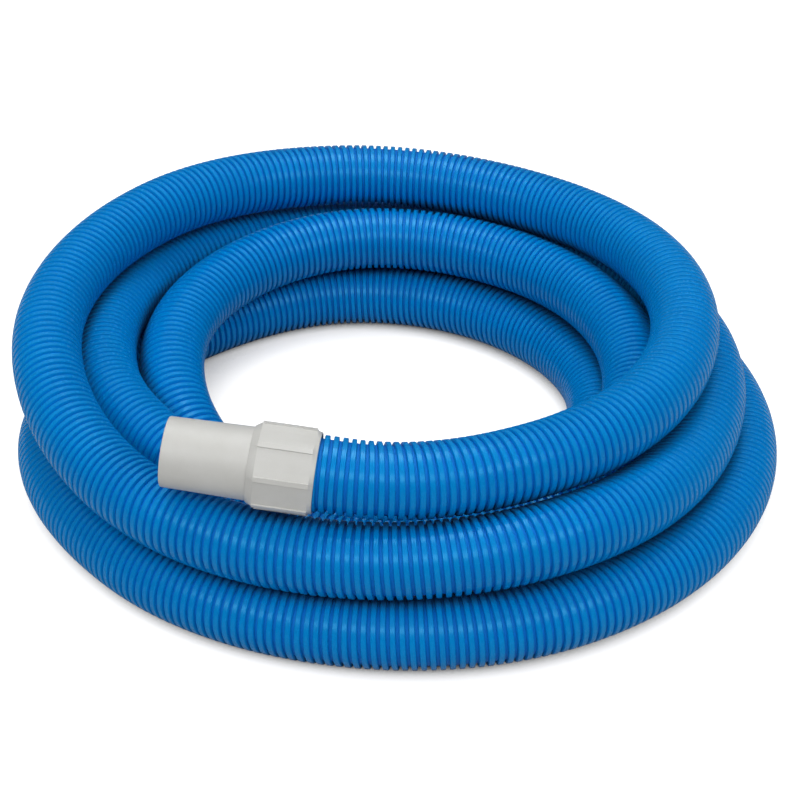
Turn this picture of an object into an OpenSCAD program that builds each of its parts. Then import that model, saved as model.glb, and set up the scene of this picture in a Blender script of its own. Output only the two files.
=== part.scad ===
// Coiled spiral-ribbed vacuum hose with a swivel cuff at one end and a plain cuff at the other.
// The origin is on the floor under the middle of the coil, +Z is up, and the swivel cuff
// lies on top of the pile at the front, -Y.

/* [Hose] */
// Inside diameter of the hose and of both cuffs, mm
hose_bore = 38; // [32:0.5:50]
// Wall under the grooves, mm
hose_wall = 1.5; // [1.3:0.1:2.5]
// Depth of the grooves between the ribs, mm
rib_depth = 2; // [1.6:0.1:2.6]
// Number of ribs from end to end
rib_count = 170; // [60:1:200]
// How far the lowest loops are pressed flat on the floor, mm
floor_flat = 0.5; // [0.2:0.1:0.8]

/* [Cuffs] */
// Wall of the nozzle at its mouth, mm
mouth_wall = 1.5; // [1:0.1:2.2]
// Wall of the nozzle at its neck, mm
neck_wall = 2.4; // [1.8:0.1:2.6]
// Length of the nozzle in front of the shoulder, mm
nozzle_length = 49.8; // [20:0.2:70]
// Straight part of the neck in front of the shoulder, mm
neck_straight = 1; // [0.5:0.5:4]
// Rounding of the nozzle's outer edge at the mouth, mm
mouth_round = 0.8; // [0.2:0.1:0.9]
// Length of the sloping shoulder, mm
shoulder_length = 4.4; // [3:0.2:8]
// Length of the eight-sided grip, mm
grip_length = 34; // [24:1:44]
// Wall of the grip at the middle of a flat, mm
grip_wall = 1.6; // [1.4:0.1:4]
// Height of the ridge along each corner of the grip, mm
ridge_rise = 0.2; // [0.1:0.1:1]
// Width of the ridge along each corner of the grip, mm
ridge_width = 3; // [1:0.2:5]
// Length of the bevel around the open end of the grip, at the corners, mm
bevel = 2.8; // [1:0.2:5]
// Wall left at the open end of the grip, mm
rim_wall = 0.8; // [0.6:0.1:1.4]
// Clearance between the ribs of the hose and the socket of a cuff, mm
socket_clearance = 0.1; // [0.05:0.05:0.3]

/* [Swivel] */
// Thickness of the nozzle's trapped flange, mm
flange_thickness = 3; // [1.5:0.5:5]
// Clearance around the flange inside the collar, mm
flange_clearance = 0.25; // [0.1:0.05:0.3]
// Thickness of the collar's lip in front of the flange, mm
lip_thickness = 5.8; // [5.4:0.1:9]
// Clearance around the nozzle in the lip, mm
lip_clearance = 0.35; // [0.25:0.05:0.5]
// Rim of the collar's shoulder around the nozzle, mm
lip_rim = 0.55; // [0.3:0.05:1]
// End play on each face of the flange, mm
end_play = 0.3; // [0.2:0.05:0.5]
// Thickness of the sealing washers, mm
washer_thickness = 2; // [1:0.5:4]
// Clearance around the washers, inside and outside, mm
washer_clearance = 0.2; // [0.1:0.05:0.4]
// Turn of the front grip about its own axis, degrees
grip_roll = -6; // [-45:1:45]

/* [Hidden] */

HOSE_BLUE = [0.03, 0.42, 0.80];
CUFF_WHITE = [0.89, 0.89, 0.87];
WASHER_BLACK = [0.10, 0.10, 0.11];

// ---- How the hose lies -------------------------------------------------------------------
// Stations along the hose every 40 degrees around the coil, counter-clockwise from above:
// [reach from the coil's middle, rise above a hose that lies on the floor], mm, for a 45 mm hose.
// The first and the last station only steer the ends.
station_step = 40;
first_station = 220;
LAY = [
  [185, 119],
  // first loop, on top of the pile all the way round
  [187, 93], [183, 86], [191, 85], [204, 85], [215, 82], [222, 88], [219, 95], [222, 82], [212, 54],
  // second loop, under the cuff and outside at the front, then inwards down the left side
  [204, 46], [212, 50], [214, 42], [223, 43], [228, 34], [231, 38], [218, 47], [188, 46], [155, 34],
  // third loop, the inner one of the middle layer
  [154, 12], [160, 15], [164, 33], [173, 45], [183, 48], [186, 51], [171, 43], [142, 27], [118, 3],
  // fourth loop, innermost on the floor, then outwards under the others
  [108, 0], [114, 0], [131, 0], [157, 0], [174, 2], [192, 1], [198, 0], [225, 4], [213, 1],
  // fifth loop, outermost on the floor
  [210, 0], [224, 2], [238, 2], [247, 0], [259, 0], [263, 2], [254, 6], [230, 7]
];
loops_begin = 1.075;   // where the curved part of the hose begins and ends, counted in stations
loops_end = 42.625;
hose_from = first_station + loops_begin * station_step;
hose_to = first_station + loops_end * station_step;
sides = 8;         // flats around the hose, one of them underneath
bore_rings = 220;

hose_od = hose_bore + 2 * (hose_wall + rib_depth);
lay_scale = hose_od / 45;
lead = 0.94 * hose_od;   // the hose runs straight into each cuff for nearly one diameter
lie = hose_od / 2 * cos(180 / sides) - floor_flat;

function unit(v) = v / norm(v);
function spline(a, b, c, d, u) =
  0.5 * (2 * b + (c - a) * u + (2 * a - 5 * b + 4 * c - d) * u * u + (3 * b - a - 3 * c + d) * u * u * u);
function lay_at(turn) =
  let (t = (turn - first_station) / station_step, k = min(floor(t), len(LAY) - 3))
  spline(LAY[k - 1], LAY[k], LAY[k + 1], LAY[k + 2], t - k);
function loop_point(turn) =
  let (p = lay_at(turn) * lay_scale)
  [p[0] * cos(turn), p[0] * sin(turn), p[1] + lie];

// Arc length against angle along the loops, so that ribs keep one pitch on every loop
fine_steps = 831;
function fine_turn(i) = hose_from + (hose_to - hose_from) * i / fine_steps;
FINE = [for (i = [0 : fine_steps]) loop_point(fine_turn(i))];
ARC = [for (i = 0, s = 0; i <= fine_steps;
    s = s + (i < fine_steps ? norm(FINE[i + 1] - FINE[i]) : 0), i = i + 1) [s, fine_turn(i)]];
loops_length = ARC[fine_steps][0];
hose_length = loops_length + 2 * lead;

head_way = unit(loop_point(hose_from) - loop_point(hose_from + 0.5));
tail_way = unit(loop_point(hose_to) - loop_point(hose_to - 0.5));
head_end = loop_point(hose_from) + head_way * lead;
tail_end = loop_point(hose_to) + tail_way * lead;

function route(s) =
  s < lead ? head_end - head_way * s :
  s > hose_length - lead ? tail_end - tail_way * (hose_length - s) :
  loop_point(lookup(s - lead, ARC));
function along(s) =
  s < lead ? -head_way :
  s > hose_length - lead ? tail_way :
  unit(route(s + 1) - route(s - 1));

// The coil is centred over the origin by its own outline
XS = [for (p = FINE) p[0]];
YS = [for (p = FINE) p[1]];
middle = [(min(XS) + max(XS)) / 2, (min(YS) + max(YS)) / 2, 0];

// Least clear space between the hose and itself, a quarter of a loop or more further along
quarter_loop = 45;
run_gap = min([for (i = [0 : fine_steps]) for (j = [i + quarter_loop : fine_steps])
    norm(FINE[i] - FINE[j])]) - hose_od;
echo(hose_length_mm = round(hose_length), least_gap_to_itself_mm = run_gap);

// ---- The hose ----------------------------------------------------------------------------
function ring(s, r) =
  let (c = route(s) - middle, t = along(s), across = unit(cross([0, 0, 1], t)), up = cross(t, across))
  [for (k = [0 : sides - 1]) let (a = (k + 0.5) * 360 / sides, p = c + r * (cos(a) * across + sin(a) * up))
    [p[0], p[1], max(p[2], 0)]];

// Faces of a wall of rings whose first point has number n0; out is false for a bore
function wall(n0, rings, out) =
  [for (i = [0 : rings - 2]) for (k = [0 : sides - 1])
    let (a = n0 + i * sides + k, b = n0 + i * sides + (k + 1) % sides, c = b + sides, d = a + sides)
    each out ? [[a, d, c], [a, c, b]] : [[a, c, d], [a, b, c]]];
function end_face(o, i, out) =
  [for (k = [0 : sides - 1])
    let (a = o + k, b = o + (k + 1) % sides, c = i + (k + 1) % sides, d = i + k)
    each out ? [[a, b, c], [a, c, d]] : [[a, c, b], [a, d, c]]];

module hose() {
  crest = hose_od / 2;
  groove = crest - rib_depth;
  n = 2 * rib_count + 1;
  outer = [for (i = [0 : n - 1]) each
    ring(i * hose_length / (n - 1), i % 2 == 0 ? crest : groove)];
  inner = [for (i = [0 : bore_rings - 1]) each
    ring(i * hose_length / (bore_rings - 1), hose_bore / 2)];
  last_o = (n - 1) * sides;
  first_i = n * sides;
  last_i = first_i + (bore_rings - 1) * sides;
  color(HOSE_BLUE)
    polyhedron(points = concat(outer, inner),
      faces = concat(wall(0, n, true), wall(first_i, bore_rings, false),
        end_face(0, first_i, true), end_face(last_o, last_i, false)),
      convexity = 12);
}

// ---- The cuffs ---------------------------------------------------------------------------
// Each cuff is drawn along +X from the end face of the hose at x = 0.
bore_r = hose_bore / 2;
socket_r = hose_od / 2 + socket_clearance;
flat_r = socket_r + grip_wall;
corner_r = flat_r / cos(22.5);
neck_r = bore_r + neck_wall;
mouth_r = bore_r + mouth_wall;
lip_r = neck_r + lip_clearance;
flange_r = socket_r - flange_clearance;
flange_x = washer_thickness + end_play;
lip_x = flange_x + flange_thickness + end_play;
shoulder_front = lip_x + lip_thickness;
grip_front = shoulder_front - shoulder_length;
grip_back = grip_front - grip_length;
mouth_x = shoulder_front + nozzle_length;
over = 1;   // how far a cutter stands out of what it cuts

// Turns a part drawn up the Z axis so that it runs along +X
module lie_down() { rotate([0, 90, 0]) children(); }

// Puts a cuff on an end of the hose, pointing the way the hose runs out
module on_end(p, way) {
  q = p - middle;
  translate(q) rotate([0, -asin(way[2]), atan2(way[1], way[0])]) children();
}

// Outline of an eight-sided grip with a ridge along each corner, a flat turned to -Z when laid down
module grip_outline() {
  rotate(22.5) circle(r = corner_r, $fn = 8);
  for (k = [0 : 7]) rotate(22.5 + 45 * k)
    translate([corner_r - ridge_width, -ridge_width / 2]) square([ridge_width + ridge_rise, ridge_width]);
}

// Grip and sloping shoulder as one solid, before it is bored. Eight sides slope from the grip's flats
// to radius shoulder_r, and a turned form bevels the open end and rounds the shoulder off to a circle.
module grip_blank(shoulder_r) {
  rim_r = socket_r + rim_wall;
  top_r = corner_r + ridge_rise;
  turned_r = top_r + over;
  lie_down() intersection() {
    union() {
      translate([0, 0, grip_back]) linear_extrude(grip_length) grip_outline();
      translate([0, 0, grip_front]) rotate(22.5)
        cylinder(r1 = corner_r, r2 = shoulder_r / cos(22.5), h = shoulder_length, $fn = 8);
    }
    rotate_extrude($fn = 96) polygon([[0, grip_back], [rim_r, grip_back],
      [turned_r, grip_back + bevel * (1 + over / (top_r - rim_r))],
      [turned_r, grip_front - shoulder_length * over / (top_r - shoulder_r)],
      [shoulder_r, shoulder_front], [0, shoulder_front]]);
  }
}

// Bore of radius r from the open end of a grip up to x
module bored(r, x) {
  lie_down() translate([0, 0, grip_back - over]) cylinder(r = r, h = x - grip_back + over, $fn = 96);
}

// Outside of a nozzle from its neck to its rounded mouth, as profile points [radius, x]
function nozzle_side() = concat([[neck_r, shoulder_front + neck_straight]], [for (a = [0 : 15 : 90])
  [mouth_r - mouth_round * (1 - cos(a)), mouth_x - mouth_round * (1 - sin(a))]]);

// Collar that is screwed on the hose and traps the nozzle's flange behind its lip
module grip_collar() {
  color(CUFF_WHITE) on_end(head_end, head_way) rotate([grip_roll, 0, 0]) difference() {
    grip_blank(lip_r + lip_rim);
    bored(socket_r, lip_x);
    bored(lip_r, shoulder_front + over);
  }
}

// Nozzle that turns in the collar
module swivel_nozzle() {
  color(CUFF_WHITE) on_end(head_end, head_way) lie_down() rotate_extrude($fn = 96)
    polygon(concat([[bore_r, flange_x], [flange_r, flange_x], [flange_r, flange_x + flange_thickness],
      [neck_r, flange_x + flange_thickness]], nozzle_side(), [[bore_r, mouth_x]]));
}

module washer() {
  lie_down() difference() {
    cylinder(r = socket_r - washer_clearance, h = washer_thickness, $fn = 96);
    translate([0, 0, -over])
      cylinder(r = bore_r + washer_clearance, h = washer_thickness + 2 * over, $fn = 96);
  }
}

// Seal between the end of the hose and the turning flange
module swivel_washer() { color(WASHER_BLACK) on_end(head_end, head_way) washer(); }

// Plain cuff, moulded in one piece and screwed on the other end
module tail_cuff() {
  color(CUFF_WHITE) on_end(tail_end, tail_way) difference() {
    union() {
      grip_blank(neck_r);
      lie_down() rotate_extrude($fn = 96)
        polygon(concat([[0, 0], [neck_r, 0]], nozzle_side(), [[0, mouth_x]]));
    }
    bored(socket_r, washer_thickness);
    bored(bore_r, mouth_x + over);
  }
}

// Seal inside the plain cuff
module tail_washer() { color(WASHER_BLACK) on_end(tail_end, tail_way) washer(); }

hose();
grip_collar();
swivel_nozzle();
swivel_washer();
tail_cuff();
tail_washer();
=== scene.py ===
# %% [markdown]
# # A coiled vacuum hose
# The object is a pool cleaning hose: nearly six metres of blue spiral-ribbed tube, laid down in a loose
# pile of loops, with a pale moulded cuff screwed on each end. The cuff on top has a nozzle that turns. The
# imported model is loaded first, because it is the fixed frame that every piece has to fit.

# %% Load the frame
import math

import bpy
import numpy as np
from mathutils import Matrix, Vector


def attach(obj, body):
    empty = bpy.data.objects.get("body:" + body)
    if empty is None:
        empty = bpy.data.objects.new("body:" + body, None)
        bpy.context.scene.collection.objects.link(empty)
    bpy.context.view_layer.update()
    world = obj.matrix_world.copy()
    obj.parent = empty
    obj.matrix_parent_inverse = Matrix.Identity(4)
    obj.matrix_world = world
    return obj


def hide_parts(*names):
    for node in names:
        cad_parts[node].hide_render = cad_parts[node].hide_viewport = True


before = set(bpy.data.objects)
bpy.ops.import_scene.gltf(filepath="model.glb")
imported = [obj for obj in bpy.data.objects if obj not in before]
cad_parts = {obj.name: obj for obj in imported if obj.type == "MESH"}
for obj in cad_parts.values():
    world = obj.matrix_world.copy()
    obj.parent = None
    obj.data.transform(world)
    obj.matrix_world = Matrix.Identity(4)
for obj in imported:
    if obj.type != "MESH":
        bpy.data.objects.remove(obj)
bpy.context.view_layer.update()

# %% [markdown]
# ## The camera
# A still-life camera stands at the coil's front and looks down at it with a short telephoto lens. It could
# be aimed with a constraint, but a place, a target and a focal length say the same with plain numbers, and
# stay easy to change. The lens follows from the focal length in pixels on a frame 792 pixels wide.

# %% Camera
IMAGE_WIDTH = 792
FOCAL_PIXELS = 1828.0
SENSOR_WIDTH = 36.0
CAMERA_DISTANCE = 1.326
CAMERA_DOWN = math.radians(32.52)
CAMERA_TARGET = Vector((-0.0018, 0.0516, 0.0))

camera_way = Vector((0, -math.cos(CAMERA_DOWN), math.sin(CAMERA_DOWN)))
bpy.ops.object.camera_add(
    location=CAMERA_TARGET + CAMERA_DISTANCE * camera_way,
    rotation=(math.pi / 2 - CAMERA_DOWN, 0, 0))
camera = bpy.context.object
camera.name = "camera"
camera.data.sensor_width = SENSOR_WIDTH
camera.data.lens = SENSOR_WIDTH * FOCAL_PIXELS / IMAGE_WIDTH
bpy.context.scene.camera = camera
print("lens", round(camera.data.lens, 1), "mm, camera at", [round(c, 3) for c in camera.location])

# %% [markdown]
# ## How the hose lies
# A hose is one length of stiff tube, so its lie is one smooth line. It is noted down as stations every 40
# degrees around the pile: how far out the hose lies there, and how high above its place on the floor. A
# Catmull-Rom spline runs through the stations, and the ends run straight into their cuffs. The solids of
# the frame follow the same stations, so both lie in the same place.

# %% Stations of the lay
HOSE_OD = 0.045
HOSE_BORE = 0.038
STATION_STEP = 40.0
FIRST_STATION = 220.0
LAY = np.array([
    (0.185, 0.119),
    # first loop, on top of the pile all the way round
    (0.187, 0.093), (0.183, 0.086), (0.191, 0.085), (0.204, 0.085), (0.215, 0.082),
    (0.222, 0.088), (0.219, 0.095), (0.222, 0.082), (0.212, 0.054),
    # second loop, under the cuff and outside at the front, then inwards down the left side
    (0.204, 0.046), (0.212, 0.050), (0.214, 0.042), (0.223, 0.043), (0.228, 0.034),
    (0.231, 0.038), (0.218, 0.047), (0.188, 0.046), (0.155, 0.034),
    # third loop, the inner one of the middle layer
    (0.154, 0.012), (0.160, 0.015), (0.164, 0.033), (0.173, 0.045), (0.183, 0.048),
    (0.186, 0.051), (0.171, 0.043), (0.142, 0.027), (0.118, 0.003),
    # fourth loop, innermost on the floor, then outwards under the others
    (0.108, 0.000), (0.114, 0.000), (0.131, 0.000), (0.157, 0.000), (0.174, 0.002),
    (0.192, 0.001), (0.198, 0.000), (0.225, 0.004), (0.213, 0.001),
    # fifth loop, outermost on the floor
    (0.210, 0.000), (0.224, 0.002), (0.238, 0.002), (0.247, 0.000), (0.259, 0.000),
    (0.263, 0.002), (0.254, 0.006), (0.230, 0.007)])
print("stations", len(LAY), "a loop takes", 360 / STATION_STEP)

# %% [markdown]
# Between two stations the spline needs the four nearest ones. The solid hose has eight flats and rests on
# one of them, pressed in by half a millimetre, so its middle line lies a little lower than half its
# diameter.

# %% Line through the stations
LOOPS_BEGIN = 1.075
LOOPS_END = 42.625
FINE_STEPS = 831
HALF_SIDE = math.radians(22.5)
FLOOR_FLAT = 0.0005
LIE = HOSE_OD / 2 * math.cos(HALF_SIDE) - FLOOR_FLAT


def lay_at(turn):
    """Reach and rise at angles in degrees, by the spline through the four nearest stations."""
    t = (turn - FIRST_STATION) / STATION_STEP
    k = np.minimum(np.floor(t).astype(int), len(LAY) - 3)
    u = (t - k)[:, None]
    a, b, c, d = LAY[k - 1], LAY[k], LAY[k + 1], LAY[k + 2]
    return 0.5 * (2 * b + (c - a) * u + (2 * a - 5 * b + 4 * c - d) * u ** 2
                  + (3 * b - a - 3 * c + d) * u ** 3)


def loop_points(turn):
    """Points of the middle line at angles in degrees, before the coil is centred."""
    turn = np.atleast_1d(np.asarray(turn, float))
    reach, rise = lay_at(turn).T
    angle = np.radians(turn)
    return np.stack([reach * np.cos(angle), reach * np.sin(angle), rise + LIE], 1)


HOSE_FROM = FIRST_STATION + LOOPS_BEGIN * STATION_STEP
HOSE_TO = FIRST_STATION + LOOPS_END * STATION_STEP
FINE_TURNS = np.linspace(HOSE_FROM, HOSE_TO, FINE_STEPS + 1)
FINE = loop_points(FINE_TURNS)
MIDDLE = np.array([*(FINE.min(0) + FINE.max(0))[:2] / 2, 0.0])
print("turns", round((HOSE_TO - HOSE_FROM) / 360, 2), "middle of the loops", MIDDLE.round(4))

# %% [markdown]
# Everything that is wound around the hose is placed by the length along it, so a table of arc length turns
# a length into a place. Into each cuff the hose runs straight for nearly one diameter. Each place also gets
# three directions: along the hose, across it and upwards.

# %% Places along the hose
ARC = np.concatenate([[0.0], np.cumsum(np.linalg.norm(np.diff(FINE, axis=0), axis=1))])
LEAD = 0.94 * HOSE_OD
HOSE_LENGTH = ARC[-1] + 2 * LEAD
NUDGE_TURN = 0.5
NUDGE_LENGTH = 0.001


def unit(v):
    """Vectors scaled to length one."""
    return v / np.linalg.norm(v, axis=-1, keepdims=True)


HEAD_WAY = unit(loop_points(HOSE_FROM)[0] - loop_points(HOSE_FROM + NUDGE_TURN)[0])
TAIL_WAY = unit(loop_points(HOSE_TO)[0] - loop_points(HOSE_TO - NUDGE_TURN)[0])
HEAD_END = FINE[0] + HEAD_WAY * LEAD - MIDDLE
TAIL_END = FINE[-1] + TAIL_WAY * LEAD - MIDDLE


def route(s):
    """Centre of the hose at lengths s from the end under the turning cuff."""
    s = np.asarray(s, float)[:, None]
    inside = np.clip(s[:, 0] - LEAD, 0, ARC[-1])
    curved = loop_points(np.interp(inside, ARC, FINE_TURNS)) - MIDDLE
    head = HEAD_END - HEAD_WAY * s
    tail = TAIL_END - TAIL_WAY * (HOSE_LENGTH - s)
    return np.where(s < LEAD, head, np.where(s > HOSE_LENGTH - LEAD, tail, curved))


def directions(s):
    """Unit vectors along the hose, across it and upwards at lengths s."""
    ahead = route(np.minimum(s + NUDGE_LENGTH, HOSE_LENGTH))
    behind = route(np.maximum(s - NUDGE_LENGTH, 0))
    along = unit(ahead - behind)
    across = unit(np.cross([0, 0, 1], along))
    return along, across, np.cross(along, across)


print("hose length", round(HOSE_LENGTH, 3), "m")
print("turning cuff at", HEAD_END.round(4), "other cuff at", TAIL_END.round(4))

# %% [markdown]
# ## The wall of the hose
# Such a hose is made by winding a warm plastic strip into a thin tube with a stiff rib around it. The wall
# and the rib are two shapes here too. Both are swept: their points are placed around the route, and rows of
# quads join them.

# %% Helpers for swept shapes
def new_piece(name, points, faces):
    """A mesh object from arrays of points and faces, lying on the floor and not below it."""
    points = points.reshape(-1, 3)
    points[:, 2] = np.maximum(points[:, 2], 0.0)
    mesh = bpy.data.meshes.new(name)
    mesh.from_pydata(points.tolist(), [], faces)
    mesh.validate()
    piece = bpy.data.objects.new(name, mesh)
    bpy.context.scene.collection.objects.link(piece)
    return piece


def around(s, radius, angle):
    """Points at length s and an angle around the hose, angle 0 on its inner side."""
    centre = route(s)
    _, across, up = directions(s)
    return centre + radius[:, None] * (np.cos(angle)[:, None] * across + np.sin(angle)[:, None] * up)


def grid_faces(rows, columns, first=0, flip=False):
    """Quads of a grid of points whose columns close into a ring."""
    i, j = np.meshgrid(np.arange(rows - 1), np.arange(columns), indexing="ij")
    a = first + i * columns + j
    b = first + i * columns + (j + 1) % columns
    quads = np.stack([a, b, b + columns, a + columns], -1).reshape(-1, 4)
    return (quads[:, ::-1] if flip else quads).tolist()


print("two rings of four points make", len(grid_faces(2, 4)), "faces")

# %% [markdown]
# A curve with a round bevel could make the wall, but it has no bore. So two sets of rings run along the
# route, one for the outside and one for the bore, and a row of quads at each end joins them.

# %% Hose wall
RIB_HEIGHT = 0.0023
WALL_OUT = HOSE_OD / 2 - RIB_HEIGHT
WALL_IN = HOSE_BORE / 2
SIDES = 36
WALL_RING_STEP = 0.007


def ring_grid(s, radius):
    """Rings of SIDES points around the hose at lengths s."""
    angle = np.linspace(0, 2 * math.pi, SIDES, endpoint=False)
    grid_s, grid_angle = np.meshgrid(s, angle, indexing="ij")
    return around(grid_s.ravel(), np.full(grid_s.size, radius), grid_angle.ravel())


ring_places = np.linspace(0, HOSE_LENGTH, int(HOSE_LENGTH / WALL_RING_STEP) + 1)
rings = len(ring_places)
bore_first = rings * SIDES
last_ring = (rings - 1) * SIDES
quads = grid_faces(rings, SIDES) + grid_faces(rings, SIDES, first=bore_first, flip=True)
for k in range(SIDES):
    k2 = (k + 1) % SIDES
    quads.append([k2, k, bore_first + k, bore_first + k2])
    quads.append([last_ring + k, last_ring + k2, bore_first + last_ring + k2, bore_first + last_ring + k])
wall_points = np.concatenate([ring_grid(ring_places, WALL_OUT), ring_grid(ring_places, WALL_IN)])
hose_wall = new_piece("hose_wall", wall_points, quads)
print("hose_wall has", len(hose_wall.data.polygons), "faces on", rings, "rings")

# %% [markdown]
# ## The spiral rib
# The rib is one unbroken helix with a square-shouldered section: a flat crest with rounded edges and steep
# sides. An array of rings would be simpler, but a real spiral leans a little and never closes on itself. A
# closed section is swept along the helix instead. One mesh would be too heavy, so the helix is cut into
# five lengths that meet end to end, and the foot of the rib is sunk a little into the wall.

# %% Winding the rib
RIB_PITCH = 0.00526
RIB_END = 0.003
RIB_PIECES = 5
RIB_SECTION = np.array([
    # along the hose, above the wall
    (-0.00174, -0.00025), (-0.00152, 0.00185), (-0.00124, RIB_HEIGHT),
    (0.00124, RIB_HEIGHT), (0.00152, 0.00185), (0.00174, -0.00025)])


def rib_length(name, first, last):
    """The rib from one step of the helix to another, with SIDES steps in each turn."""
    step = np.arange(first, last + 1)
    s = RIB_END + RIB_PITCH * step / SIDES
    angle = 2 * math.pi * step / SIDES
    corners = len(RIB_SECTION)
    grid_s = (s[:, None] + RIB_SECTION[:, 0]).ravel()
    grid_radius = np.tile(WALL_OUT + RIB_SECTION[:, 1], len(step))
    points = around(grid_s, grid_radius, np.repeat(angle, corners))
    end = (len(step) - 1) * corners
    faces = grid_faces(len(step), corners)
    faces += [list(range(corners))[::-1], list(range(end, end + corners))]
    piece = new_piece(name, points, faces)
    crest = piece.data.attributes.new("crest", "FLOAT", "POINT")
    height = np.clip(RIB_SECTION[:, 1] / RIB_HEIGHT, 0, 1)
    crest.data.foreach_set("value", np.tile(height, len(step)).astype(np.float32))
    return piece


helix_steps = int((HOSE_LENGTH - 2 * RIB_END) / RIB_PITCH * SIDES)
cuts = np.linspace(0, helix_steps, RIB_PIECES + 1).astype(int)
hose_ribs = [rib_length(f"hose_rib_{i + 1}", cuts[i], cuts[i + 1]) for i in range(RIB_PIECES)]
print("rib turns", round(helix_steps / SIDES), "faces", [len(rib.data.polygons) for rib in hose_ribs])

# %% [markdown]
# A mesh built from lists of faces may have some that look inwards, so an edit mode operator turns them all
# outwards. Then the surface is shaded smooth, but not over edges that turn by more than 20 degrees, because
# the shoulders of the real rib are crisp. Shading costs nothing, while rounding each edge would need many
# faces.

# %% Smooth shading for the hose
SHARP = math.radians(20)


def select_only(piece):
    """Makes one piece the only selected and the active one, as most operators want it."""
    bpy.ops.object.select_all(action="DESELECT")
    piece.select_set(True)
    bpy.context.view_layer.objects.active = piece


def finish_surface(piece):
    """Turns the faces of a closed mesh outwards and shades it smooth between its sharp edges."""
    select_only(piece)
    bpy.ops.object.mode_set(mode="EDIT")
    bpy.ops.mesh.select_all(action="SELECT")
    bpy.ops.mesh.normals_make_consistent(inside=False)
    bpy.ops.object.mode_set(mode="OBJECT")
    bpy.ops.object.shade_smooth_by_angle(angle=SHARP)


for piece in [hose_wall, *hose_ribs]:
    finish_surface(piece)
print("hose pieces", [p.name for p in [hose_wall, *hose_ribs]])

# %% [markdown]
# ## The turning cuff
# Each cuff is a hard moulding, lathe-round outside except for its eight-sided grip. Its sizes follow from
# the hose: the bore runs on at the same width, and the socket takes the hose with a tenth of a millimetre
# to spare. The cuffs are made along +X from the end of the hose, and are put in place when they are
# finished.

# %% Sizes of the cuffs
BORE_R = HOSE_BORE / 2
SOCKET_R = HOSE_OD / 2 + 0.0001
FLAT_R = SOCKET_R + 0.0016
CORNER_R = FLAT_R / math.cos(HALF_SIDE)
NECK_R = BORE_R + 0.0024
MOUTH_R = BORE_R + 0.0015
LIP_R = NECK_R + 0.00035
COLLAR_FRONT_R = LIP_R + 0.00055
FLANGE_R = SOCKET_R - 0.00025
FLANGE_X = 0.0023
FLANGE_THICKNESS = 0.003
LIP_X = 0.0056
TAIL_SEAT_X = 0.002
SHOULDER_FRONT = 0.0114
NECK_FRONT = SHOULDER_FRONT + 0.001
GRIP_FRONT = 0.007
GRIP_BACK = -0.027
MOUTH_X = 0.0612
GRIP_ROLL = math.radians(-6)
print("grip", round(2000 * FLAT_R, 1), "mm across flats, mouth", round(2000 * MOUTH_R, 1), "mm across")

# %% [markdown]
# A revolved curve would do for the round parts, but extruding one circle along its axis and resizing it at
# each step works like a lathe and stays a plain mesh.

# %% A lathe made of extrusions
TURNED_SIDES = 96
MERGE = 1e-6


def apply_place(piece):
    """Writes a piece's place, turn and scale into its mesh."""
    select_only(piece)
    bpy.ops.object.transform_apply(location=True, rotation=True, scale=True)


def turned(name, profile, capped=False):
    """A form turned about the X axis from profile points (x, radius).

    A capped form is solid from its first point to its last. Any other profile ends where it starts.
    """
    bpy.ops.object.select_all(action="DESELECT")
    x, r = profile[0]
    bpy.ops.mesh.primitive_circle_add(
        vertices=TURNED_SIDES, radius=r, fill_type="NGON" if capped else "NOTHING",
        location=(x, 0, 0), rotation=(0, math.pi / 2, 0))
    piece = bpy.context.object
    piece.name = name
    piece.data.name = name
    apply_place(piece)
    bpy.ops.object.mode_set(mode="EDIT")
    bpy.ops.mesh.select_all(action="SELECT")
    if capped:
        bpy.ops.mesh.duplicate()
    for (x0, r0), (x1, r1) in zip(profile, profile[1:]):
        bpy.ops.mesh.extrude_region_move(TRANSFORM_OT_translate={"value": (x1 - x0, 0, 0)})
        bpy.ops.transform.resize(value=(1, r1 / r0, r1 / r0), center_override=(x1, 0, 0))
    bpy.ops.mesh.select_all(action="SELECT")
    bpy.ops.mesh.remove_doubles(threshold=MERGE)
    bpy.ops.mesh.normals_make_consistent(inside=False)
    bpy.ops.object.mode_set(mode="OBJECT")
    return piece


print("turned forms have", TURNED_SIDES, "sides")

# %% [markdown]
# The nozzle is a thin tapering tube. A flange on its inner end is trapped in the collar, so that the cuff
# turns and the hose doesn't twist. Its mouth has a rounded rim, as a moulding has, so a few points on a
# quarter circle stand in for that rounding.

# %% Nozzle
MOUTH_ROUND = 0.0008
MOUTH_BREAK = 0.0004
CHAMFER = 0.0002


def nozzle_outside():
    """Profile from the neck over the rounded rim to the start of the bore."""
    quarter = np.radians(np.arange(0, 91, 15))
    rim = [(MOUTH_X - MOUTH_ROUND * (1 - math.sin(a)), MOUTH_R - MOUTH_ROUND * (1 - math.cos(a)))
           for a in quarter]
    return [(NECK_FRONT, NECK_R), *rim, (MOUTH_X, BORE_R + MOUTH_BREAK), (MOUTH_X - MOUTH_BREAK, BORE_R)]


flange_front = FLANGE_X + FLANGE_THICKNESS
swivel_nozzle = turned("nozzle", [
    (FLANGE_X, BORE_R), (FLANGE_X, FLANGE_R - CHAMFER), (FLANGE_X + CHAMFER, FLANGE_R),
    (flange_front - CHAMFER, FLANGE_R), (flange_front, FLANGE_R - CHAMFER), (flange_front, NECK_R),
    *nozzle_outside(), (FLANGE_X, BORE_R)])
print("nozzle", len(swivel_nozzle.data.polygons), "faces")

# %% [markdown]
# ## The grip
# The hose is screwed into an eight-sided grip that a wet hand can hold. Along each corner runs a low flat
# ridge. In front a shoulder slopes from the eight sides to the round neck, and the open end is rounded
# over. All of this is made on chosen faces and edges, which are picked by their place or by the way that
# they face. Their numbers could be noted down instead, but they change with every cut.

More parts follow.
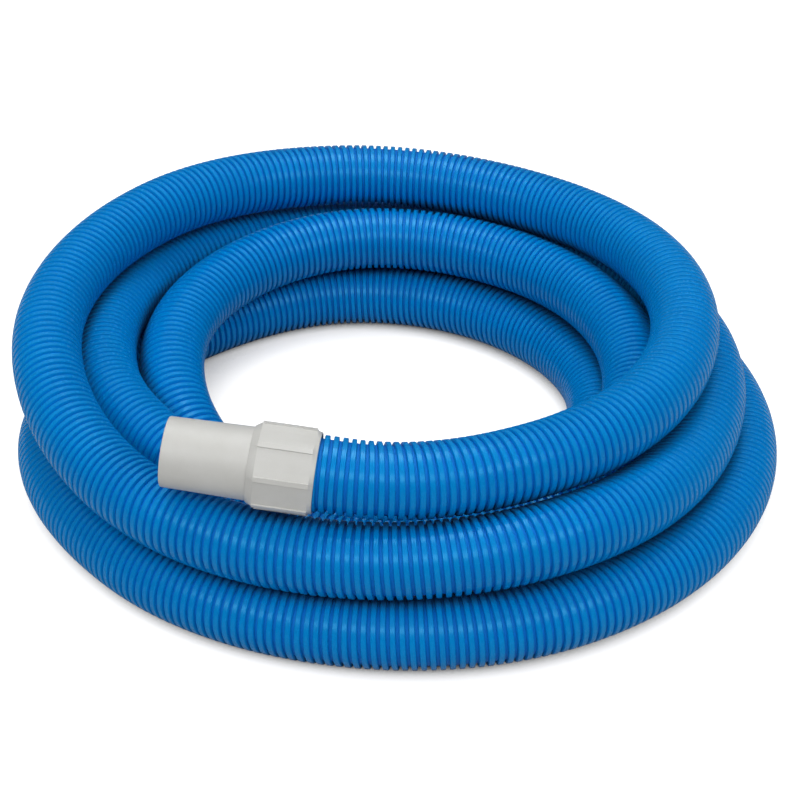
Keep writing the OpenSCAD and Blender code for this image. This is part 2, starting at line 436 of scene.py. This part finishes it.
# %% Picking faces and edges
RIDGE_WIDTH = 0.003
RIDGE_TOP = CORNER_R + 0.0002
NEAR = 0.001
CORNER_SHARE = 0.999
FACES_AN_END = 0.9
FACES_A_SIDE = 0.01
CORNER_SLACK = 0.1


def pick(piece, kind, wanted):
    """In edit mode, selects the faces or edges for which wanted(element) is true."""
    bpy.ops.mesh.select_mode(type="FACE" if kind == "polygons" else "EDGE")
    bpy.ops.mesh.select_all(action="DESELECT")
    bpy.ops.object.mode_set(mode="OBJECT")
    chosen = [element for element in getattr(piece.data, kind) if wanted(element)]
    for element in chosen:
        element.select = True
    bpy.ops.object.mode_set(mode="EDIT")
    return len(chosen)


def lies_across(piece, edge):
    """Whether an edge is square to the X axis, as the edges of the end faces are."""
    start, end = (piece.data.vertices[i].co.x for i in edge.vertices)
    return abs(start - end) < NEAR


def lies_on_corner(piece, edge):
    """Whether both ends of an edge are as far from the axis as the corners of the grip."""
    return all(piece.data.vertices[i].co.yz.length > CORNER_SHARE * CORNER_R for i in edge.vertices)


def faces_like_a_corner(face):
    """Whether a face is parallel to the axis and looks the way that one of the eight corners points."""
    round_the_axis = math.atan2(face.normal.z, face.normal.y)
    return abs(face.normal.x) < FACES_A_SIDE and abs(math.sin(4 * round_the_axis)) < CORNER_SLACK


print("ridges", round(1000 * RIDGE_WIDTH, 1), "mm wide")

# %% [markdown]
# The end faces of an eight-sided cylinder, with more points on their edges, are extruded and drawn towards
# a circle. Bevelling the corner edges gives strips, and extruding the strips gives the ridges. A cone cut
# by an octagon would give a shoulder too, but its edge would curve over each flat instead of running
# straight across.

# %% Ends and ridges of a grip
SIDE_CUTS = 7
BACK_ROUND = 0.0026
BACK_R = SOCKET_R + 0.0008
BACK_ARC = np.radians((35, 65, 90))


def draw_to_circle(piece, x, steps):
    """Extrudes the end face at x in steps of (new x, how round, mean radius), starting as an octagon."""
    side = np.linspace(-1, 1, SIDE_CUTS + 2)[:-1] * FLAT_R * math.tan(HALF_SIDE)
    mean = np.hypot(FLAT_R, side).mean()
    pick(piece, "polygons", lambda face: abs(face.normal.x) > FACES_AN_END and abs(face.center.x - x) < NEAR)
    for new_x, roundness, radius in steps:
        bpy.ops.mesh.extrude_region_move(TRANSFORM_OT_translate={"value": (new_x - x, 0, 0)})
        bpy.ops.transform.tosphere(value=roundness, center_override=(new_x, 0, 0))
        bpy.ops.transform.resize(value=(1, radius / mean, radius / mean), center_override=(new_x, 0, 0))
        x, mean = new_x, radius


def raise_ridges(piece):
    """Bevels the corner edges into strips and extrudes the strips outwards."""
    pick(piece, "edges", lambda edge: lies_on_corner(piece, edge))
    bpy.ops.mesh.bevel(offset_type="WIDTH", offset=RIDGE_WIDTH, segments=1)
    strips = pick(piece, "polygons", faces_like_a_corner)
    strip_r = CORNER_R - RIDGE_WIDTH / 2 * math.tan(HALF_SIDE)
    bpy.ops.mesh.extrude_region_shrink_fatten(TRANSFORM_OT_shrink_fatten={"value": RIDGE_TOP - strip_r})
    return strips


print("the open end is rounded over in", len(BACK_ARC), "steps")


# %% Grip of the turning cuff
def grip(name, roll, shoulder_r):
    """A solid eight-sided grip, with its flats turned by roll and its shoulder drawn in to shoulder_r."""
    back = GRIP_BACK + BACK_ROUND
    bpy.ops.object.select_all(action="DESELECT")
    bpy.ops.mesh.primitive_cylinder_add(
        vertices=8, radius=CORNER_R, depth=GRIP_FRONT - back,
        rotation=(0, math.pi / 2, 0), location=((GRIP_FRONT + back) / 2, 0, 0))
    piece = bpy.context.object
    piece.name = name
    piece.data.name = name
    apply_place(piece)
    bpy.ops.object.mode_set(mode="EDIT")
    pick(piece, "edges", lambda edge: lies_across(piece, edge))
    bpy.ops.mesh.subdivide(number_cuts=SIDE_CUTS)
    draw_to_circle(piece, GRIP_FRONT, [(SHOULDER_FRONT, 1.0, shoulder_r)])
    draw_to_circle(piece, back, [
        (back - BACK_ROUND * math.sin(a), 1 - math.cos(a) / 2, BACK_R + (FLAT_R - BACK_R) * math.cos(a))
        for a in BACK_ARC])
    strips = raise_ridges(piece)
    bpy.ops.object.mode_set(mode="OBJECT")
    piece.rotation_euler.x = HALF_SIDE + roll
    apply_place(piece)
    print(name, "has", strips, "ridges")
    return piece


grip_collar = grip("collar", GRIP_ROLL, COLLAR_FRONT_R)

# %% [markdown]
# No moulding leaves its mould with a knife edge, so a narrow Bevel modifier softens the ridges. Booleans
# are the quickest way to bore a solid like that. Their cutters are turned forms too, and flare a little
# where an edge needs breaking.

# %% Softening and boring
SOFT_EDGE = 0.00012
SOFT_ANGLE = math.radians(50)
BROKEN_EDGE = 0.0004
PAST = 0.001


def soften(piece):
    """Rounds the edges between faces that turn by more than SOFT_ANGLE."""
    select_only(piece)
    bevel = piece.modifiers.new("soft edges", "BEVEL")
    bevel.width = SOFT_EDGE
    bevel.segments = 2
    bevel.limit_method = "ANGLE"
    bevel.angle_limit = SOFT_ANGLE
    bpy.ops.object.modifier_apply(modifier=bevel.name)


def cut(piece, cutter, operation):
    """A boolean with a cutter, which is used up by it."""
    select_only(piece)
    boolean = piece.modifiers.new("cut", "BOOLEAN")
    boolean.operation = operation
    boolean.object = cutter
    boolean.solver = "EXACT"
    bpy.ops.object.modifier_apply(modifier=boolean.name)
    bpy.data.objects.remove(cutter)


def bore_out(piece, radius, start, end):
    """A hole from start to end, with its edge broken at the start."""
    wider = radius + BROKEN_EDGE
    bore = [(start - PAST, wider), (start, wider), (start + BROKEN_EDGE, radius), (end, radius)]
    cut(piece, turned("bore", bore, capped=True), "DIFFERENCE")


soften(grip_collar)
bore_out(grip_collar, SOCKET_R, GRIP_BACK, LIP_X)
bore_out(grip_collar, LIP_R, LIP_X - PAST, SHOULDER_FRONT + PAST)
print("collar", len(grip_collar.data.polygons), "faces")

# %% [markdown]
# ## The other cuff
# The far end of the hose has the same cuff without the swivel, moulded in one piece. Its nozzle and its
# grip are therefore joined before they are bored.

# %% Plain cuff
tail_cuff = grip("end_cuff", 0.0, NECK_R)
soften(tail_cuff)
core = turned("core", [(LIP_X, NECK_R), *nozzle_outside()[:-2]], capped=True)
cut(tail_cuff, core, "UNION")
bore_out(tail_cuff, SOCKET_R, GRIP_BACK, TAIL_SEAT_X)
bore_out(tail_cuff, BORE_R, TAIL_SEAT_X - PAST, MOUTH_X + PAST)
print("end cuff", len(tail_cuff.data.polygons), "faces")

# %% [markdown]
# Each cuff points the way that the hose leaves its loops. Two turns bring the X axis to that way, first a
# tilt and then a turn about the upright, so that neither adds any roll to the grip. The place is then
# applied to the mesh, so that every pattern on Object coordinates is laid out in the shared frame.

# %% Cuffs on the ends of the hose
def put_on_end(piece, end, way):
    """Moves a finished form of a cuff from the X axis to an end of the hose, pointing along way."""
    turn = Matrix.Rotation(math.atan2(way[1], way[0]), 4, "Z")
    tilt = Matrix.Rotation(-math.asin(way[2]), 4, "Y")
    piece.matrix_world = Matrix.Translation(end) @ turn @ tilt
    apply_place(piece)
    finish_surface(piece)


put_on_end(swivel_nozzle, HEAD_END, HEAD_WAY)
put_on_end(grip_collar, HEAD_END, HEAD_WAY)
put_on_end(tail_cuff, TAIL_END, TAIL_WAY)
print("nozzle mouth", (HEAD_END + HEAD_WAY * MOUTH_X).round(4))

# %% [markdown]
# ## Finishes
# Every plastic here has the same two small effects, so each is a node group that is built once. Moulded
# plastic is never quite even in colour or gloss, and what is handled and dragged over stone gets pale
# scuffs. Materials take many nodes, so short helpers add one, feed its sockets and do sums with it.

# %% Node helpers
def feed(tree, socket, value):
    """Gives a socket its value, or a link when the value comes from another node."""
    if isinstance(value, bpy.types.NodeSocket):
        tree.links.new(value, socket)
    else:
        socket.default_value = value


def node(tree, kind, settings=None, **inputs):
    """A new node with its settings, and its inputs by name, with _ for a space."""
    made = tree.nodes.new(kind)
    for key, value in (settings or {}).items():
        setattr(made, key, value)
    for key, value in inputs.items():
        feed(tree, made.inputs[key.replace("_", " ")], value)
    return made


def combine(tree, operation, a, b, kind="ShaderNodeMath"):
    """The result of a Math or Vector Math node on two values."""
    made = node(tree, kind, {"operation": operation})
    feed(tree, made.inputs[0], a)
    feed(tree, made.inputs[1], b)
    return made.outputs[0]


def span(tree, value, low, high, start=0.3, end=0.7, smooth=False):
    """A value from low to high, while another goes from start to end; noise lies mostly from 0.3 to 0.7."""
    settings = {"interpolation_type": "SMOOTHSTEP" if smooth else "LINEAR"}
    made = node(tree, "ShaderNodeMapRange", settings, Value=value,
                From_Min=start, From_Max=end, To_Min=low, To_Max=high)
    return made.outputs["Result"]


def group_tree(name, inputs, outputs):
    """A new shader node group; sockets are (name, type, default)."""
    tree = bpy.data.node_groups.new(name, "ShaderNodeTree")
    for socket, kind, default in inputs:
        made = tree.interface.new_socket(name=socket, in_out="INPUT", socket_type=kind)
        made.default_value = default
    for socket, kind in outputs:
        tree.interface.new_socket(name=socket, in_out="OUTPUT", socket_type=kind)
    return tree, tree.nodes.new("NodeGroupInput"), tree.nodes.new("NodeGroupOutput")


def srgb(r, g, b):
    """Linear colour from the 0-255 numbers that a paint chart gives."""
    return tuple(c / 12.92 if c <= 0.04045 else ((c + 0.055) / 1.055) ** 2.4
                 for c in (r / 255, g / 255, b / 255)) + (1.0,)


print("middle grey is", round(srgb(128, 128, 128)[0], 3), "of white")

# %% [markdown]
# A moulding is slightly cloudy, and its skin is finely pebbled. A wide noise gives the clouds, and a noise
# nine times finer gives the pebbles, which change the gloss and raise a faint bump. An image texture could
# do the same, but noise needs no file and never repeats.

# %% Moulded grain
PEBBLES_PER_CLOUD = 9.0
PEBBLE_HEIGHT = 0.0002


def moulded_grain():
    """Slight mottling of a moulding: a mask for colour, one for gloss and a fine bump."""
    tree, given, out = group_tree(
        "moulded_grain",
        [("Scale", "NodeSocketFloat", 60.0), ("Depth", "NodeSocketFloat", 0.2)],
        [("Mottle", "NodeSocketFloat"), ("Gloss", "NodeSocketFloat"), ("Normal", "NodeSocketVector")])
    place = node(tree, "ShaderNodeTexCoord").outputs["Object"]
    mottle = node(tree, "ShaderNodeTexNoise", Vector=place, Scale=given.outputs["Scale"],
                  Detail=4.0, Roughness=0.6)
    finer = combine(tree, "MULTIPLY", given.outputs["Scale"], PEBBLES_PER_CLOUD)
    pebble = node(tree, "ShaderNodeTexNoise", Vector=place, Scale=finer, Detail=3.0, Roughness=0.55)
    bump = node(tree, "ShaderNodeBump", Strength=given.outputs["Depth"], Distance=PEBBLE_HEIGHT,
                Height=pebble.outputs["Fac"])
    tree.links.new(mottle.outputs["Fac"], out.inputs["Mottle"])
    tree.links.new(pebble.outputs["Fac"], out.inputs["Gloss"])
    tree.links.new(bump.outputs["Normal"], out.inputs["Normal"])
    return tree


GRAIN = moulded_grain()
print("group", GRAIN.name)

# %% [markdown]
# Scuffs are thin strokes, mostly level, and gathered where a thing is held or dragged. So a noise squeezed
# six times in height gives the strokes, and a second, very wide noise says where they are. Strokes painted
# by hand would look as good, but would have to be painted on every piece.

# %% Scuffs
RUB_FROM = 0.58
RUB_TO = 0.72
PATCH_FROM = 0.45
PATCH_TO = 0.65
PATCH_SCALE = 14.0


def scuffs():
    """Thin pale rubs from handling and dragging, as a mask; Stretch squeezes them along X, Y and Z."""
    tree, given, out = group_tree(
        "scuffs",
        [("Scale", "NodeSocketFloat", 90.0), ("Amount", "NodeSocketFloat", 0.3),
         ("Stretch", "NodeSocketVector", (1.0, 1.0, 6.0))],
        [("Mask", "NodeSocketFloat")])
    place = node(tree, "ShaderNodeTexCoord").outputs["Object"]
    drawn = combine(tree, "MULTIPLY", place, given.outputs["Stretch"], kind="ShaderNodeVectorMath")
    rub = node(tree, "ShaderNodeTexNoise", Vector=drawn, Scale=given.outputs["Scale"], Detail=6.0,
               Roughness=0.7, Distortion=0.6)
    patch = node(tree, "ShaderNodeTexNoise", Vector=place, Scale=PATCH_SCALE, Detail=2.0)
    rubs = span(tree, rub.outputs["Fac"], 0.0, 1.0, RUB_FROM, RUB_TO, smooth=True)
    patches = span(tree, patch.outputs["Fac"], 0.0, 1.0, PATCH_FROM, PATCH_TO, smooth=True)
    both = combine(tree, "MULTIPLY", rubs, patches)
    tree.links.new(combine(tree, "MULTIPLY", both, given.outputs["Amount"]), out.inputs["Mask"])
    return tree


SCUFFS = scuffs()
print("group", SCUFFS.name)

# %% [markdown]
# A material here starts from the Principled shader, places the two finish groups and blends colours by
# masks. Each of these is a short helper, so that a material reads as a list of what is seen.

# %% Material helpers
def blend(tree, mask, a, b):
    """A colour between a and b; a Mix node keeps its colour sockets behind those for numbers and vectors."""
    mix = node(tree, "ShaderNodeMix", {"data_type": "RGBA"})
    feed(tree, mix.inputs[0], mask)
    feed(tree, mix.inputs[6], a)
    feed(tree, mix.inputs[7], b)
    return mix.outputs[2]


def placed_group(tree, group, **inputs):
    """A node that runs one of the shared groups."""
    return node(tree, "ShaderNodeGroup", {"node_tree": group}, **inputs)


def principled(name):
    """A new material, its node tree and its shader."""
    material = bpy.data.materials.new(name)
    material.use_nodes = True
    tree = material.node_tree
    return material, tree, tree.nodes["Principled BSDF"]


print("material helpers ready")

# %% [markdown]
# The hose is soft blown plastic, dyed right through: a strong sky blue with a soft gloss. The grooves are
# painted a darker, deeper blue as painted shade, and the flanks of the ribs a lighter blue as painted light,
# standing in for light that reaches them. The crests get a few pale rubs. The rib carries its height as an
# attribute, so that the paint can follow the crest wherever the helix goes.

# %% Blue hose plastic, its colour
HOSE_BLUE = srgb(0, 132, 205)
HOSE_DEEP = srgb(0, 125, 199)
# Painted shade for the grooves and painted light for the flanks of the rib
HOSE_GROOVE_SHADE = srgb(0, 117, 206)
HOSE_FLANK_LIGHT = srgb(0, 150, 226)
HOSE_PALE = srgb(40, 152, 214)
FLANK_FROM = 0.3
CREST_FROM = 0.75

hose_plastic, tree, shader = principled("hose_plastic")
grain = placed_group(tree, GRAIN, Scale=45.0, Depth=0.12)
rubbed = placed_group(tree, SCUFFS, Scale=120.0, Amount=0.35)
height = node(tree, "ShaderNodeAttribute", {"attribute_name": "crest"}).outputs["Fac"]
crest_colour = blend(tree, span(tree, grain.outputs["Mottle"], 0.0, 1.0), HOSE_DEEP, HOSE_BLUE)
# Painted shade in the grooves and painted light on the flanks, set by the rib's height
foot_shade_and_light = blend(tree, span(tree, height, 0.0, 1.0, 0.0, FLANK_FROM), HOSE_GROOVE_SHADE, HOSE_FLANK_LIGHT)
body_colour = blend(tree, span(tree, height, 0.0, 1.0, CREST_FROM, 1.0), foot_shade_and_light, crest_colour)
crest_rub = combine(tree, "MULTIPLY", height, rubbed.outputs["Mask"])
rubbed_colour = blend(tree, crest_rub, body_colour, HOSE_PALE)
print("material", hose_plastic.name)

# %% [markdown]
# Where loops press together, the gap between them gets painted shade and a dull surface. An ambient
# occlusion node finds places that are closed in, and turns them dark and rough. Grooves are closed in
# everywhere, so there the node's value is raised first, and only real gaps stay dark.

# %% Blue hose plastic, its gaps and gloss
# Painted shade for the gaps between the loops
HOSE_PAINTED_SHADE = srgb(20, 40, 84)
HOSE_SHEEN = srgb(128, 220, 255)
HOSE_IOR = 1.3
RECESS_REACH = 0.012
RECESS_FULL = 0.15
RECESS_NONE = 0.6
GROOVE_RAISE = 3.4
GROOVE_ROUGHNESS = 0.55
CREST_ROUGHNESS = (0.2, 0.3)

nearby = node(tree, "ShaderNodeAmbientOcclusion", {"samples": 4}, Distance=RECESS_REACH)
raised = span(tree, height, GROOVE_RAISE, 1.0, 0.0, 1.0)
opened = combine(tree, "MULTIPLY", nearby.outputs["AO"], raised)
painted_shade = span(tree, opened, 1.0, 0.0, RECESS_FULL, RECESS_NONE)
# Painted shade: the base colour goes to a dark blue in the gaps that the occlusion node finds
feed(tree, shader.inputs["Base Color"], blend(tree, painted_shade, rubbed_colour, HOSE_PAINTED_SHADE))
crest_gloss = span(tree, grain.outputs["Gloss"], *CREST_ROUGHNESS)
gloss = span(tree, height, GROOVE_ROUGHNESS, crest_gloss, 0.0, 1.0)
feed(tree, shader.inputs["Roughness"], span(tree, painted_shade, gloss, 1.0, 0.0, 1.0))
feed(tree, shader.inputs["Normal"], grain.outputs["Normal"])
shader.inputs["IOR"].default_value = HOSE_IOR
shader.inputs["Specular IOR Level"].default_value = 1.0
shader.inputs["Specular Tint"].default_value = HOSE_SHEEN
print(hose_plastic.name, "has", len(tree.nodes), "nodes")

# %% [markdown]
# The cuffs are a harder, satin plastic, off-white with a trace of warmth. The mottling shows only in raking
# light. The seals are plain black rubber with a dusty bloom.

# %% Off-white cuff plastic and black rubber
CUFF_WHITE = srgb(200, 200, 197)
CUFF_SHADE = srgb(194, 194, 190)
CUFF_RUB = srgb(186, 185, 181)
RUBBER = srgb(26, 26, 28)
RUBBER_BLOOM = srgb(52, 52, 54)
FINISH_SCUFF_SCALE = 70.0


def finish_of(name, colour, shade, rub, roughness, scale, depth, amount):
    """A moulded finish: two mottled colours, rubs, a range of roughness, and the grain's scale and depth."""
    material, tree, shader = principled(name)
    grain = placed_group(tree, GRAIN, Scale=scale, Depth=depth)
    rubbed = placed_group(tree, SCUFFS, Scale=FINISH_SCUFF_SCALE, Amount=amount)
    body = blend(tree, span(tree, grain.outputs["Mottle"], 0.0, 1.0), colour, shade)
    feed(tree, shader.inputs["Base Color"], blend(tree, rubbed.outputs["Mask"], body, rub))
    feed(tree, shader.inputs["Roughness"], span(tree, grain.outputs["Gloss"], *roughness))
    feed(tree, shader.inputs["Normal"], grain.outputs["Normal"])
    return material


cuff_plastic = finish_of("cuff_plastic", CUFF_WHITE, CUFF_SHADE, CUFF_RUB, roughness=(0.42, 0.55),
                         scale=55.0, depth=0.15, amount=0.35)
seal_rubber = finish_of("seal_rubber", RUBBER, RUBBER_BLOOM, RUBBER_BLOOM, roughness=(0.6, 0.75),
                        scale=150.0, depth=0.4, amount=0.5)
print("materials", cuff_plastic.name, seal_rubber.name)

# %% [markdown]
# Every piece now gets its finish and the body that it moves with, and the solid that it stands for is
# hidden. The two seals keep their solids, and only change their finish.

# %% Finishes, bodies and solids
def wear(piece, material):
    """Gives a piece one material in place of any others."""
    piece.data.materials.clear()
    piece.data.materials.append(material)


def dress(piece, material, body, material_slot, *nodes):
    wear(piece, material)
    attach(piece, body)
    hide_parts(*nodes)


for piece in (hose_wall, *hose_ribs):
    dress(piece, hose_plastic, "hose_body", "hose_blue", "hose")
dress(grip_collar, cuff_plastic, "hose_body", "cuff_white", "grip_collar")
dress(swivel_nozzle, cuff_plastic, "nozzle_body", "cuff_white", "swivel_nozzle")
dress(tail_cuff, cuff_plastic, "hose_body", "cuff_white", "tail_cuff")
washers = [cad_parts[name] for name in ("swivel_washer", "tail_washer")]
for washer in washers:
    wear(washer, seal_rubber)

# %% [markdown]

# %% [markdown]
# ## Floor and light
# The hose lies on a plain pale floor, which glows enough towards the camera to look white, and keeps the
# soft shadow under the loops: an ambient occlusion node takes the glow away where the floor is closed in.
# Reflections see only a tenth of that glow, so the ribs don't turn grey where they are seen at a slant. A
# floor of real white would be simpler, but it throws so much light back that the undersides of the pale
# cuffs lose their shade.

# %% Floor
FLOOR_SIZE = 12
FLOOR_DROP = 0.0004
FLOOR_GREY = srgb(178, 178, 178)
FLOOR_GLOW = 0.9
SHADOW_REACH = 0.12
SHADOW_FULL = 0.05
SHADOW_NONE = 0.5
MIRROR_SHARE = 0.1

bpy.ops.object.select_all(action="DESELECT")
bpy.ops.mesh.primitive_plane_add(size=FLOOR_SIZE, location=(0, 0, -FLOOR_DROP))
floor = bpy.context.object
floor.name = "floor"
floor_material, tree, shader = principled("floor_white")
shader.inputs["Base Color"].default_value = FLOOR_GREY
shader.inputs["Roughness"].default_value = 0.9
shader.inputs["Specular IOR Level"].default_value = 0.2
seen = node(tree, "ShaderNodeLightPath").outputs
mirrored = combine(tree, "MULTIPLY", seen["Is Glossy Ray"], MIRROR_SHARE)
direct = combine(tree, "MAXIMUM", seen["Is Camera Ray"], mirrored)
direct = combine(tree, "MAXIMUM", direct, seen["Is Transmission Ray"])
open_air = node(tree, "ShaderNodeAmbientOcclusion", {"samples": 6}, Distance=SHADOW_REACH)
open_sky = span(tree, open_air.outputs["AO"], 0.0, FLOOR_GLOW, SHADOW_FULL, SHADOW_NONE, smooth=True)
lift = combine(tree, "MULTIPLY", direct, open_sky)
glow = node(tree, "ShaderNodeEmission", Color=(1, 1, 1, 1), Strength=lift)
both = node(tree, "ShaderNodeAddShader")
feed(tree, both.inputs[0], shader.outputs[0])
feed(tree, both.inputs[1], glow.outputs[0])
feed(tree, tree.nodes["Material Output"].inputs["Surface"], both.outputs[0])
floor.data.materials.append(floor_material)
print("floor", floor.dimensions[:])

# %% [markdown]
# The world is the even light of a white room. The camera sees it white. Reflections see a bright ceiling
# above a dark horizon, as between the dark walls of a studio, and that keeps the sides of the ribs a full
# blue.

# %% World
WORLD_LIGHT = 0.29
HORIZON_LIGHT = 0.1
CEILING_LIGHT = 0.75
HORIZON_TOP = 0.5
CEILING_FROM = 0.85

world = bpy.data.worlds.new("studio")
bpy.context.scene.world = world
world.use_nodes = True
tree = world.node_tree
seen = node(tree, "ShaderNodeLightPath").outputs
towards = node(tree, "ShaderNodeTexCoord").outputs["Generated"]
upwards = node(tree, "ShaderNodeSeparateXYZ", Vector=towards).outputs["Z"]
mirrored = span(tree, upwards, HORIZON_LIGHT, CEILING_LIGHT, HORIZON_TOP, CEILING_FROM, smooth=True)
strength = span(tree, seen["Is Glossy Ray"], WORLD_LIGHT, mirrored, 0.0, 1.0)
direct = combine(tree, "MAXIMUM", seen["Is Camera Ray"], seen["Is Transmission Ray"])
strength = span(tree, direct, strength, 1.0, 0.0, 1.0)
background = tree.nodes["Background"]
background.inputs["Color"].default_value = (1, 1, 1, 1)
feed(tree, background.inputs["Strength"], strength)
print("world light", WORLD_LIGHT)

# %% [markdown]
# Big soft boxes above and in front light the ribs without hard glints. The boxes in front stand far off, so
# that the near and the far loops get the same light. A dome of even light alone would be simpler, but it
# flattens the ribs. The boxes themselves are hidden from the camera.

# %% Lamps
def softbox(name, place, aim, width, depth, watts):
    """A rectangular lamp at a place, turned towards its aim and hidden from the camera."""
    bpy.ops.object.select_all(action="DESELECT")
    bpy.ops.object.light_add(type="AREA", location=place)
    lamp = bpy.context.object
    lamp.name = name
    lamp.data.shape = "RECTANGLE"
    lamp.data.size = width
    lamp.data.size_y = depth
    lamp.data.energy = watts
    lamp.visible_camera = False
    lamp.rotation_euler = (Vector(aim) - Vector(place)).to_track_quat("-Z", "Y").to_euler()


softbox("overhead", (0.0, 0.4, 2.1), (0, 0, 0), width=1.0, depth=1.0, watts=18)
softbox("front", (0.0, -3.3, 2.9), (0, 0, 0.05), width=3.3, depth=1.2, watts=60)
softbox("front_left", (-2.15, -1.95, 2.25), (0, 0, 0.05), width=1.5, depth=1.0, watts=20.5)
softbox("front_right", (2.15, -1.95, 2.25), (0, 0, 0.05), width=1.5, depth=1.0, watts=20.5)
scene = bpy.context.scene
scene.view_settings.view_transform = "Standard"
